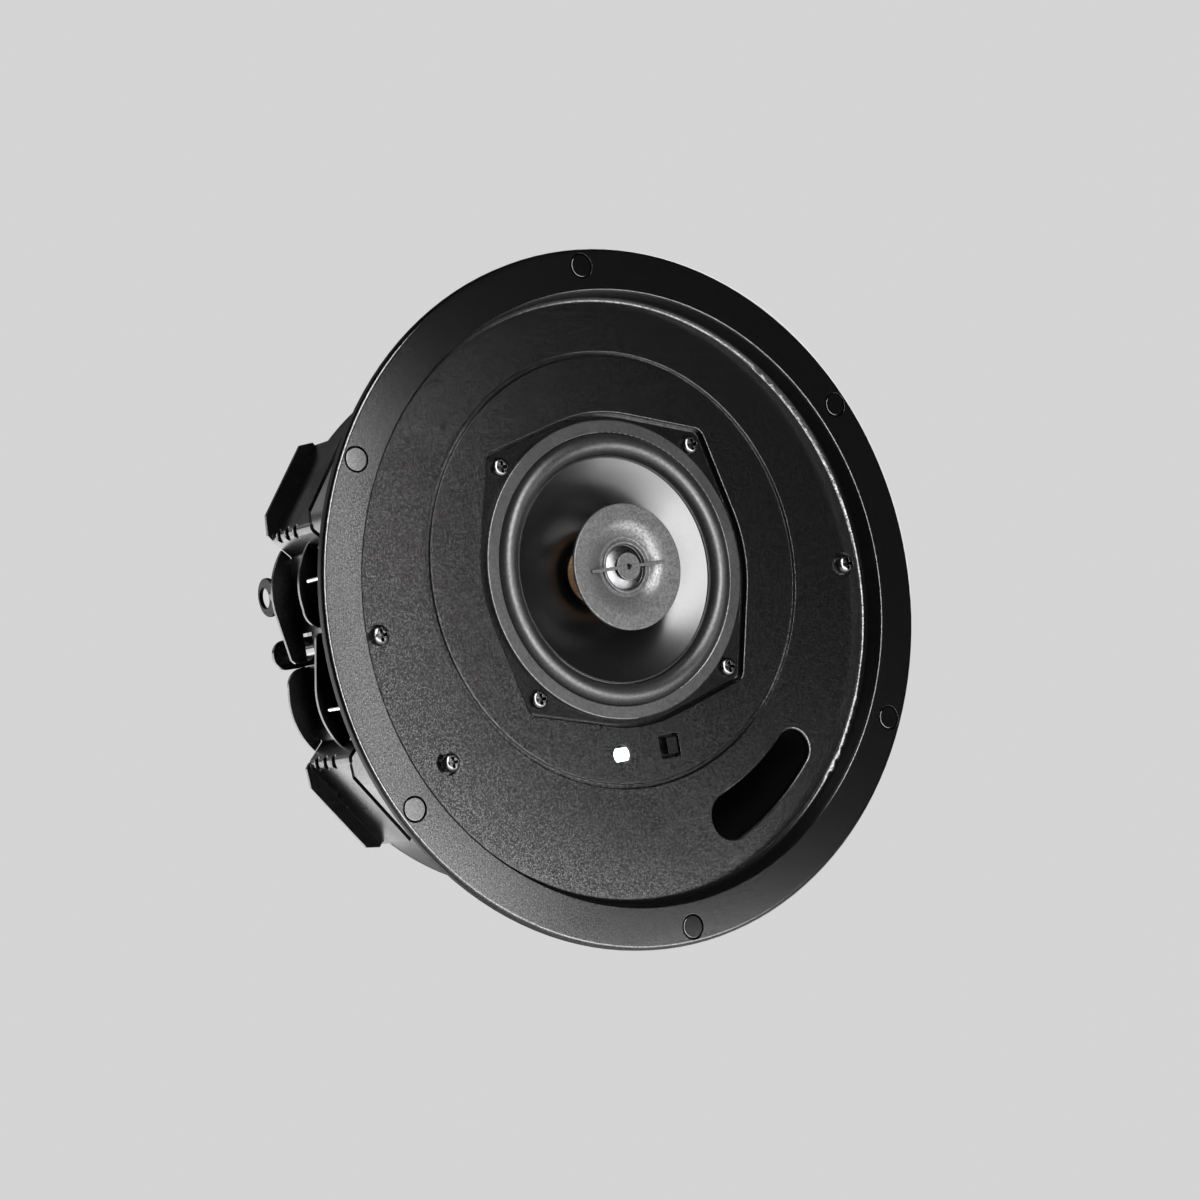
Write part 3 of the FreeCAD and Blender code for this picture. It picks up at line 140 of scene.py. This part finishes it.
# Grained surface: fine bump of the given height, slow drift of gloss, uneven colour
def surface(name, color, rough, specular=0.5, grain=1000.0, lift=0.00002, tone=0.2, swing=0.04, edge=0.0,
            glint=0.1):
    mat, tree, shader = newMaterial(name)
    coords = coordinates(tree)
    fine = noise(tree, coords, grain, 3.0, 0.6)
    slow = noise(tree, coords, 45.0, 3.0, 0.55)
    shades = ramp(tree, fine, [(0.3, tinted(color, 1 - tone)), (0.7, tinted(color, 1 + tone))])
    tree.links.new(shades, shader.inputs["Base Color"])
    drift = spread(tree, slow, 0.3, 0.7, max(0.03, rough - swing), min(1.0, rough + swing))
    tree.links.new(drift, shader.inputs["Roughness"])
    sparkle = spread(tree, fine, 0.36, 0.64, specular - glint, specular + glint)
    tree.links.new(sparkle, shader.inputs["Specular IOR Level"])
    base = softEdge(tree, edge) if edge else None
    tree.links.new(bump(tree, fine, lift, base), shader.inputs["Normal"])
    return mat


# Moulded baffle: fine bezel face in front, spark-eroded grain on the recessed floor, dull walls and skirt
baffleFinish = {
    "color": (0.0012, 0.0012, 0.00122),
    "faceEnd": (-0.0036, -0.0028),      # y behind which the bezel's face ends
    "floorStart": (0.0030, 0.0048),     # y behind which the recessed floor begins
    "floorEdge": (0.1260, 0.1266),      # radius that the floor's finish reaches
    "filletEdge": (0.1234, 0.1238),     # radius that the floor's grain reaches
    "faceRough": 0.15, "floorRough": 0.2, "wallRough": 0.45,
    "faceGloss": (0.3, 0.7), "floorGloss": (0.2, 0.8), "wallGloss": 0.08,
    "grain": 1400.0, "lift": 0.00008, "faceDepth": 0.14, "floorDepth": 0.4, "edge": 0.0003}


def baffleMaterial(name):
    s = baffleFinish
    mat, tree, shader = newMaterial(name)
    coords = coordinates(tree)
    split = addNode(tree, "ShaderNodeSeparateXYZ")
    tree.links.new(coords, split.inputs["Vector"])
    flat = addNode(tree, "ShaderNodeCombineXYZ")
    tree.links.new(split.outputs["X"], flat.inputs["X"])
    tree.links.new(split.outputs["Z"], flat.inputs["Z"])
    length = addNode(tree, "ShaderNodeVectorMath", operation="LENGTH")
    tree.links.new(flat.outputs["Vector"], length.inputs[0])
    radius = length.outputs["Value"]
    behind = spread(tree, split.outputs["Y"], *s["faceEnd"], 0.0, 1.0)
    deep = spread(tree, split.outputs["Y"], *s["floorStart"], 0.0, 1.0)
    floor = multiplied(tree, deep, spread(tree, radius, *s["floorEdge"], 1.0, 0.0))
    wall = addNode(tree, "ShaderNodeMath", operation="SUBTRACT", use_clamp=True)
    tree.links.new(behind, wall.inputs[0])
    tree.links.new(floor, wall.inputs[1])
    fine = noise(tree, coords, s["grain"], 2.0, 0.6)
    shades = ramp(tree, fine, [(0.3, tinted(s["color"], 0.6)), (0.7, tinted(s["color"], 1.4))])
    tree.links.new(shades, shader.inputs["Base Color"])
    rough = spread(tree, floor, 0.0, 1.0, s["faceRough"], s["floorRough"])
    tree.links.new(mixed(tree, wall.outputs[0], rough, s["wallRough"]), shader.inputs["Roughness"])
    glints = addNode(tree, "ShaderNodeMapRange")
    glints.inputs["From Min"].default_value = 0.36
    glints.inputs["From Max"].default_value = 0.64
    tree.links.new(fine, glints.inputs["Value"])
    for end, onFace, onFloor in zip(("To Min", "To Max"), s["faceGloss"], s["floorGloss"]):
        tree.links.new(spread(tree, floor, 0.0, 1.0, onFace, onFloor), glints.inputs[end])
    gloss = mixed(tree, wall.outputs[0], glints.outputs["Result"], s["wallGloss"])
    tree.links.new(gloss, shader.inputs["Specular IOR Level"])
    level = multiplied(tree, floor, spread(tree, radius, *s["filletEdge"], 1.0, 0.0))
    depth = spread(tree, level, 0.0, 1.0, s["faceDepth"], s["floorDepth"])
    tree.links.new(bump(tree, fine, s["lift"], softEdge(tree, s["edge"]), depth), shader.inputs["Normal"])
    return mat


# Turned or plated metal with fine lines around the axis; where shadeWidth is given, painted shade darkens the
# colour in recesses within that width
def brushedMetal(name, color, rough, scale=700.0, edge=0.0003, shadeWidth=0.0):
    mat, tree, shader = newMaterial(name)
    coords = coordinates(tree)
    stretch = addNode(tree, "ShaderNodeMapping")
    stretch.inputs["Scale"].default_value = (1.0, 0.15, 1.0)
    tree.links.new(coords, stretch.inputs["Vector"])
    lines = noise(tree, stretch.outputs["Vector"], scale, 4.0, 0.65)
    cloud = noise(tree, coords, 120.0, 2.0, 0.5)
    shades = ramp(tree, cloud, [(0.3, tinted(color, 0.82)), (0.7, tinted(color, 1.12))])
    # painted shade: the colour goes to near black in recesses, by ambient occlusion over shadeWidth
    if shadeWidth:
        shade = addNode(tree, "ShaderNodeAmbientOcclusion", samples=8, only_local=True, Distance=shadeWidth)
        dark = addNode(tree, "ShaderNodeMix", data_type="RGBA")
        dark.inputs[6].default_value = (0.001, 0.001, 0.001, 1.0)
        tree.links.new(spread(tree, shade.outputs["AO"], 0.55, 0.9, 0.0, 1.0), dark.inputs["Factor"])
        tree.links.new(shades, dark.inputs[7])
        shades = dark.outputs[2]
    tree.links.new(shades, shader.inputs["Base Color"])
    streaks = spread(tree, lines, 0.3, 0.7, max(0.03, rough - 0.06), rough + 0.08)
    tree.links.new(streaks, shader.inputs["Roughness"])
    shader.inputs["Metallic"].default_value = 1.0
    tree.links.new(bump(tree, lines, 0.000004, softEdge(tree, edge)), shader.inputs["Normal"])
    return mat


# Milky light pipe
def lightMaterial(name, color, strength):
    mat, tree, shader = newMaterial(name)
    cloud = noise(tree, coordinates(tree), 500.0, 2.0, 0.5)
    tree.links.new(ramp(tree, cloud, [(0.3, tinted(color, 0.94)), (0.7, color)]), shader.inputs["Base Color"])
    shader.inputs["Roughness"].default_value = 0.3
    shader.inputs["Emission Color"].default_value = (1.0, 1.0, 1.0, 1.0)
    shader.inputs["Emission Strength"].default_value = strength
    return mat


# Resin-treated cloth: two crossing sets of threads
def clothMaterial(name, color):
    mat, tree, shader = newMaterial(name)
    split = addNode(tree, "ShaderNodeSeparateXYZ")
    tree.links.new(coordinates(tree), split.inputs["Vector"])
    heights = []
    for axis in ("X", "Z"):
        wave = addNode(tree, "ShaderNodeMath", operation="MULTIPLY")
        wave.inputs[1].default_value = 5200.0
        tree.links.new(split.outputs[axis], wave.inputs[0])
        sine = addNode(tree, "ShaderNodeMath", operation="SINE")
        tree.links.new(wave.outputs[0], sine.inputs[0])
        heights.append(sine.outputs[0])
    both = addNode(tree, "ShaderNodeMath", operation="ADD")
    tree.links.new(heights[0], both.inputs[0])
    tree.links.new(heights[1], both.inputs[1])
    weave = spread(tree, both.outputs[0], -2.0, 2.0, 0.0, 1.0)
    tree.links.new(ramp(tree, weave, [(0.2, tinted(color, 0.7)), (0.8, color)]), shader.inputs["Base Color"])
    shader.inputs["Roughness"].default_value = 0.85
    tree.links.new(bump(tree, weave, 0.00004), shader.inputs["Normal"])
    return mat


# Circuit board: solder mask over a faint lattice of tracks
def boardMaterial(name, mask, track):
    mat, tree, shader = newMaterial(name)
    cells = addNode(tree, "ShaderNodeTexVoronoi", Scale=420.0, distance="MANHATTAN", feature="F1")
    tree.links.new(coordinates(tree), cells.inputs["Vector"])
    lines = spread(tree, cells.outputs["Distance"], 0.35, 0.42, 0.0, 1.0)
    tree.links.new(ramp(tree, lines, [(0.2, mask), (0.8, track)]), shader.inputs["Base Color"])
    shader.inputs["Roughness"].default_value = 0.3
    tree.links.new(bump(tree, lines, 0.000004), shader.inputs["Normal"])
    return mat


# Film tube in its own colour near its front end, painted black towards the cone's neck as painted shade where
# the tube lies deep in shadow
def formerMaterial(name, film, neckShade, shadeFrom):
    mat, tree, shader = newMaterial(name)
    coords = coordinates(tree)
    stretch = addNode(tree, "ShaderNodeMapping")
    stretch.inputs["Scale"].default_value = (1.0, 0.05, 1.0)
    tree.links.new(coords, stretch.inputs["Vector"])
    lines = noise(tree, stretch.outputs["Vector"], 900.0, 2.0, 0.5)
    filmLines = ramp(tree, lines, [(0.35, tinted(film, 0.5)), (0.65, film)])
    split = addNode(tree, "ShaderNodeSeparateXYZ")
    tree.links.new(coords, split.inputs["Vector"])
    # painted shade: behind shadeFrom the film is painted black, where the tube lies deep in shadow
    shadeMix = addNode(tree, "ShaderNodeMix", data_type="RGBA")
    shadeMix.inputs[7].default_value = (neckShade[0], neckShade[1], neckShade[2], 1.0)
    shadedPart = spread(tree, split.outputs["Y"], shadeFrom - 0.0003, shadeFrom + 0.0003, 0.0, 1.0)
    tree.links.new(shadedPart, shadeMix.inputs["Factor"])
    tree.links.new(filmLines, shadeMix.inputs[6])
    tree.links.new(shadeMix.outputs[2], shader.inputs["Base Color"])
    shader.inputs["Roughness"].default_value = 0.4
    shader.inputs["Specular IOR Level"].default_value = 0.2
    tree.links.new(bump(tree, lines, 0.00001), shader.inputs["Normal"])
    return mat


black = (0.002, 0.002, 0.00205)
looks = {
    "baffle_plastic": baffleMaterial("bafflePlastic"),
    "magnet_plate": surface("magnetPlate", (0.0012, 0.0012, 0.00122), 0.11, specular=0.62, lift=0.000002,
                            swing=0.02),
    "can_paint": surface("canPaint", (0.02, 0.02, 0.0205), 0.3, grain=700.0, lift=0.00001, edge=0.0005),
    "gasket_foam": surface("gasketFoam", (0.02, 0.02, 0.02), 0.9, lift=0.00008),
    # the screws' cross recesses get painted shade
    "black_screw": brushedMetal("blackScrew", (0.1, 0.1, 0.102), 0.22, shadeWidth=0.0014),
    "zinc_screw": brushedMetal("zincScrew", (0.5, 0.5, 0.51), 0.28),
    "frame_paint": surface("framePaint", (0.001, 0.001, 0.00102), 0.3, specular=0.12, lift=0.00001,
                           edge=0.0003, glint=0.05),
    "trim_plastic": surface("trimPlastic", (0.012, 0.012, 0.0121), 0.28, lift=0.00001),
    "surround_rubber": surface("surroundRubber", (0.004, 0.004, 0.0041), 0.4, grain=900.0, lift=0.000002),
    "cone_plastic": surface("conePlastic", black, 0.27, grain=2500.0, lift=0.0000002, tone=0.1, swing=0.004,
                            glint=0.03),
    "spider_cloth": clothMaterial("spiderCloth", (0.5, 0.38, 0.2)),
    # black here is painted shade on the former's deeper part
    "former_film": formerMaterial("formerFilm", (0.5, 0.3, 0.17), black, 0.0252),
    "coil_wire": brushedMetal("coilWire", (0.6, 0.28, 0.14), 0.3, 4000.0),
    "motor_steel": brushedMetal("motorSteel", (0.32, 0.32, 0.33), 0.35),
    "ferrite": surface("ferrite", (0.05, 0.05, 0.05), 0.55, lift=0.00003),
    "tweeter_plastic": surface("tweeterPlastic", (0.030, 0.030, 0.0303), 0.33, lift=0.00004, edge=0.0003,
                               glint=0.25),
    "dome_metal": brushedMetal("domeMetal", (0.075, 0.075, 0.0765), 0.3),
    "port_plastic": surface("portPlastic", (0.001, 0.001, 0.001), 0.55, specular=0.1, glint=0.03),
    "light_plastic": lightMaterial("lightPlastic", (0.95, 0.95, 0.95), 0.5),
    "switch_plastic": surface("switchPlastic", (0.001, 0.001, 0.00102), 0.3, specular=0.14, edge=0.0004,
                              glint=0.05),
    "board_laminate": boardMaterial("boardLaminate", (0.01, 0.08, 0.03), (0.03, 0.16, 0.07)),
    "plate_paint": surface("platePaint", (0.02, 0.02, 0.0205), 0.38, edge=0.0004),
    "jack_plastic": surface("jackPlastic", (0.012, 0.012, 0.012), 0.32, edge=0.0003),
    "capacitor_can": brushedMetal("capacitorCan", (0.2, 0.2, 0.24), 0.35),
    "sink_metal": brushedMetal("sinkMetal", (0.45, 0.45, 0.46), 0.35),
    "standoff_brass": brushedMetal("standoffBrass", (0.6, 0.45, 0.18), 0.28),
    "clamp_paint": surface("clampPaint", (0.0008, 0.0008, 0.00082), 0.28, grain=800.0, lift=0.00001,
                           edge=0.0002),
    "bush_steel": brushedMetal("bushSteel", (0.7, 0.7, 0.71), 0.2),
}
for part in frame["record"]["subparts"]:
    holder = nodes[part["node"]]
    holder.data.materials.clear()
    holder.data.materials.append(looks[part["material_slot"]])
eyePaint = surface("eyePaint", (0.001, 0.001, 0.00102), 0.5, specular=0.1, glint=0.03)
nodes["safety_eye"].data.materials[0] = eyePaint    # duller than the other painted clamp pieces
print("stage: materials")


# Rubber surround and cloth spider: rings between frame and cone, each made in sectors

driverZ = 0.0124
ringSizes = {"sectors": 24, "steps": 16}
surroundSizes = {"inner": 0.04805, "outer": 0.05695, "rim": 0.06055, "flat": 0.0012, "front": 0.0081,
                 "thick": 0.0007, "rollSteps": 18}
spiderSizes = {"inner": 0.0145, "outer": 0.0378, "rim": 0.0443, "neck": 0.013, "front": 0.0323,
               "thick": 0.0006, "waves": 12, "height": 0.0009, "waveSteps": 4}


def thickened(front, thick):
    return front + [(r, y + thick) for r, y in front[::-1]]


# Closed section (radius, y) around the rubber, front side first
def surroundProfile():
    s = surroundSizes
    middle = (s["inner"] + s["outer"]) / 2
    radius = (s["outer"] - s["inner"]) / 2
    front = [(s["rim"], s["front"]), (s["outer"] + s["flat"], s["front"])]
    for i in range(s["rollSteps"] + 1):
        turn = math.pi * i / s["rollSteps"]
        front.append((middle + radius * math.cos(turn), s["front"] - radius * math.sin(turn)))
    return thickened(front, s["thick"])


# The same for the cloth, with a wave to each side in turn
def spiderProfile():
    s = spiderSizes
    lifts = [0.0] + [s["height"] * (-1) ** i for i in range(1, s["waves"])] + [0.0]
    pitch = (s["inner"] - s["outer"]) / s["waves"]
    front = [(s["rim"], s["front"]), (s["outer"], s["front"])]
    for i in range(s["waves"]):
        for step in range(1, s["waveSteps"] + 1):
            share = step / s["waveSteps"]
            ease = (1 - math.cos(math.pi * share)) / 2
            lift = lifts[i] + ease * (lifts[i + 1] - lifts[i])
            front.append((s["outer"] + (i + share) * pitch, s["front"] + lift))
    front.append((s["neck"], s["front"]))
    return thickened(front, s["thick"])


def ringSector(node, slotName, profile, index):
    name = "%s%02d" % (node, index)
    mesh = bpy.data.meshes.new(name)
    bm = bmesh.new()
    wide = 2 * math.pi / ringSizes["sectors"]
    first = (index - 0.5) * wide
    section = [bm.verts.new((r * math.sin(first), y, driverZ + r * math.cos(first))) for r, y in profile]
    outline = [bm.edges.new(ends) for ends in zip(section, section[1:] + section[:1])]
    bmesh.ops.spin(bm, geom=section + outline, cent=(0.0, 0.0, driverZ), axis=(0.0, 1.0, 0.0), angle=wide,
                   steps=ringSizes["steps"])
    bmesh.ops.recalc_face_normals(bm, faces=bm.faces)
    bm.to_mesh(mesh)
    bm.free()
    for face in mesh.polygons:
        face.use_smooth = True
    piece = bpy.data.objects.new(name, mesh)
    bpy.context.collection.objects.link(piece)
    mesh.materials.append(looks[slotName])
    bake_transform(piece)
    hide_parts(node)


for number in range(ringSizes["sectors"]):
    ringSector("surround", "surround_rubber", surroundProfile(), number)
    ringSector("spider", "spider_cloth", spiderProfile(), number)
print("stage: surround and spider")


# Grille magnets: flush discs with a rounded rim, each a little smaller than its pocket

magnetSizes = {"count": 6, "circle": 0.138, "radius": 0.0047, "front": -0.0042, "thick": 0.003,
               "round": 0.0004, "segments": 72}


def grilleMagnet(index):
    s = magnetSizes
    name = "grilleMagnet%d" % (index + 1)
    mesh = bpy.data.meshes.new(name)
    bm = bmesh.new()
    bmesh.ops.create_cone(bm, cap_ends=True, segments=s["segments"], radius1=s["radius"],
                          radius2=s["radius"], depth=s["thick"])
    rim = [e for e in bm.edges if all(v.co.z > 0 for v in e.verts)]
    bmesh.ops.bevel(bm, geom=rim, offset=s["round"], segments=4, profile=0.5, affect="EDGES", material=-1)
    bmesh.ops.rotate(bm, verts=bm.verts, cent=(0.0, 0.0, 0.0), matrix=Matrix.Rotation(math.pi / 2, 3, "X"))
    turn = 2 * math.pi * index / s["count"]
    place = (s["circle"] * math.sin(turn), s["front"] + s["thick"] / 2, s["circle"] * math.cos(turn))
    bmesh.ops.translate(bm, verts=bm.verts, vec=place)
    bmesh.ops.recalc_face_normals(bm, faces=bm.faces)
    bm.to_mesh(mesh)
    bm.free()
    for face in mesh.polygons:
        face.use_smooth = abs(face.normal.y) < 0.999    # the two flat ends stay flat
    mesh.materials.append(looks["magnet_plate"])
    piece = bpy.data.objects.new(name, mesh)
    bpy.context.collection.objects.link(piece)
    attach(piece, "chassis")
    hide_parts("grille_magnet_%d" % (index + 1))


for number in range(magnetSizes["count"]):
    grilleMagnet(number)
print("stage: magnets")


# Pale floor well below the lamps, and a reflector card over it that only lights the object from below

floorSizes = {"radius": 9.0, "height": -2.5, "tone": 0.3, "seen": 0.6}
reflectorSizes = {"radius": 2.0, "height": -0.9, "tone": 0.66, "seen": 0.0}


def paleDisc(name, sizes):
    mesh = bpy.data.meshes.new(name)
    bm = bmesh.new()
    bmesh.ops.create_circle(bm, cap_ends=True, radius=sizes["radius"], segments=96)
    bm.to_mesh(mesh)
    bm.free()
    disc = bpy.data.objects.new(name, mesh)
    disc.location = (0.0, 0.0, sizes["height"])
    bpy.context.collection.objects.link(disc)
    mat, tree, shader = newMaterial(name + "Pale")
    shader.inputs["Base Color"].default_value = (sizes["tone"], sizes["tone"], sizes["tone"], 1.0)
    shader.inputs["Roughness"].default_value = 0.9
    shader.inputs["Emission Color"].default_value = (sizes["seen"], sizes["seen"], sizes["seen"], 1.0)
    path = addNode(tree, "ShaderNodeLightPath")
    tree.links.new(path.outputs["Is Camera Ray"], shader.inputs["Emission Strength"])
    mesh.materials.append(mat)
    return disc


paleDisc("floor", floorSizes)
reflector = paleDisc("reflector", reflectorSizes)
reflector.visible_camera = False
reflector.visible_shadow = False
print("stage: floor")


# Lamps around the object, all facing it: az and el in degrees, wide and high in metres, power in watts

lampDistance = 1.5
lamps = {
    "boxTall": {"az": -11.8, "el": 12.2, "wide": 0.57, "high": 2.4, "power": 99.0},
    "boxRight": {"az": 24.1, "el": -9.8, "wide": 0.06, "high": 1.08, "power": 2.8},
    "boxSpot": {"az": 26.4, "el": -8.6, "wide": 0.14, "high": 0.13, "power": 0.32},
    "boxLow": {"az": 18.4, "el": -23.9, "wide": 1.18, "high": 0.61, "power": 26.8},
    "boxBackLeft": {"az": -152.0, "el": -12.0, "wide": 1.6, "high": 1.3, "power": 30.0},
    "boxBackTop": {"az": -148.0, "el": 34.0, "wide": 1.1, "high": 0.7, "power": 3.0},
    "boxBackRight": {"az": 120.0, "el": 20.0, "wide": 1.0, "high": 1.2, "power": 16.0},
}


def softBox(name, s):
    turn, rise = math.radians(s["az"]), math.radians(s["el"])
    away = Vector((math.sin(turn) * math.cos(rise), -math.cos(turn) * math.cos(rise), math.sin(rise)))
    data = bpy.data.lights.new(name, "AREA")
    data.shape = "RECTANGLE"
    data.size = s["wide"]
    data.size_y = s["high"]
    data.energy = s["power"]
    lamp = bpy.data.objects.new(name, data)
    lamp.location = away * lampDistance
    lamp.rotation_euler = away.to_track_quat("Z", "Y").to_euler()
    lamp.visible_camera = False
    bpy.context.collection.objects.link(lamp)


for lampName, lampSizes in lamps.items():
    softBox(lampName, lampSizes)


# Studio background: pale to the camera, nearly dark to the object

worldTones = {"seen": 0.66, "lit": 0.003}


def studioWorld():
    world = bpy.data.worlds.new("studio")
    bpy.context.scene.world = world
    world.use_nodes = True
    tree = world.node_tree
    tree.nodes.clear()
    path = addNode(tree, "ShaderNodeLightPath")
    mix = addNode(tree, "ShaderNodeMixShader")
    out = addNode(tree, "ShaderNodeOutputWorld")
    tree.links.new(path.outputs["Is Camera Ray"], mix.inputs["Fac"])
    for socket, tone in ((1, worldTones["lit"]), (2, worldTones["seen"])):
        back = addNode(tree, "ShaderNodeBackground", Color=(tone, tone, tone, 1.0))
        tree.links.new(back.outputs["Background"], mix.inputs[socket])
    tree.links.new(mix.outputs["Shader"], out.inputs["Surface"])


studioWorld()
print("stage: lights")


# Camera, slightly below the middle and turned about its own line of sight

cameraSizes = {"sensor": 36.0, "lens": 86.16, "near": 0.01, "place": (-0.6657, -0.9807, -0.0277),
               "right": (0.824, -0.5414, -0.1668), "back": (-0.5523, -0.8333, -0.024)}


def photoCamera():
    s = cameraSizes
    data = bpy.data.cameras.new("photoCamera")
    data.sensor_width = s["sensor"]
    data.lens = s["lens"]
    data.clip_start = s["near"]
    camera = bpy.data.objects.new("photoCamera", data)
    right = Vector(s["right"]).normalized()
    back = Vector(s["back"])
    back = (back - right * back.dot(right)).normalized()
    up = back.cross(right)
    pose = Matrix.Identity(4)
    for i, axis in enumerate((right, up, back)):
        pose.col[i] = (axis.x, axis.y, axis.z, 0.0)
    pose.translation = Vector(s["place"])
    camera.matrix_world = pose
    bpy.context.collection.objects.link(camera)
    bpy.context.scene.camera = camera


photoCamera()
bpy.context.scene.view_settings.view_transform = "Standard"
print("stage: camera")
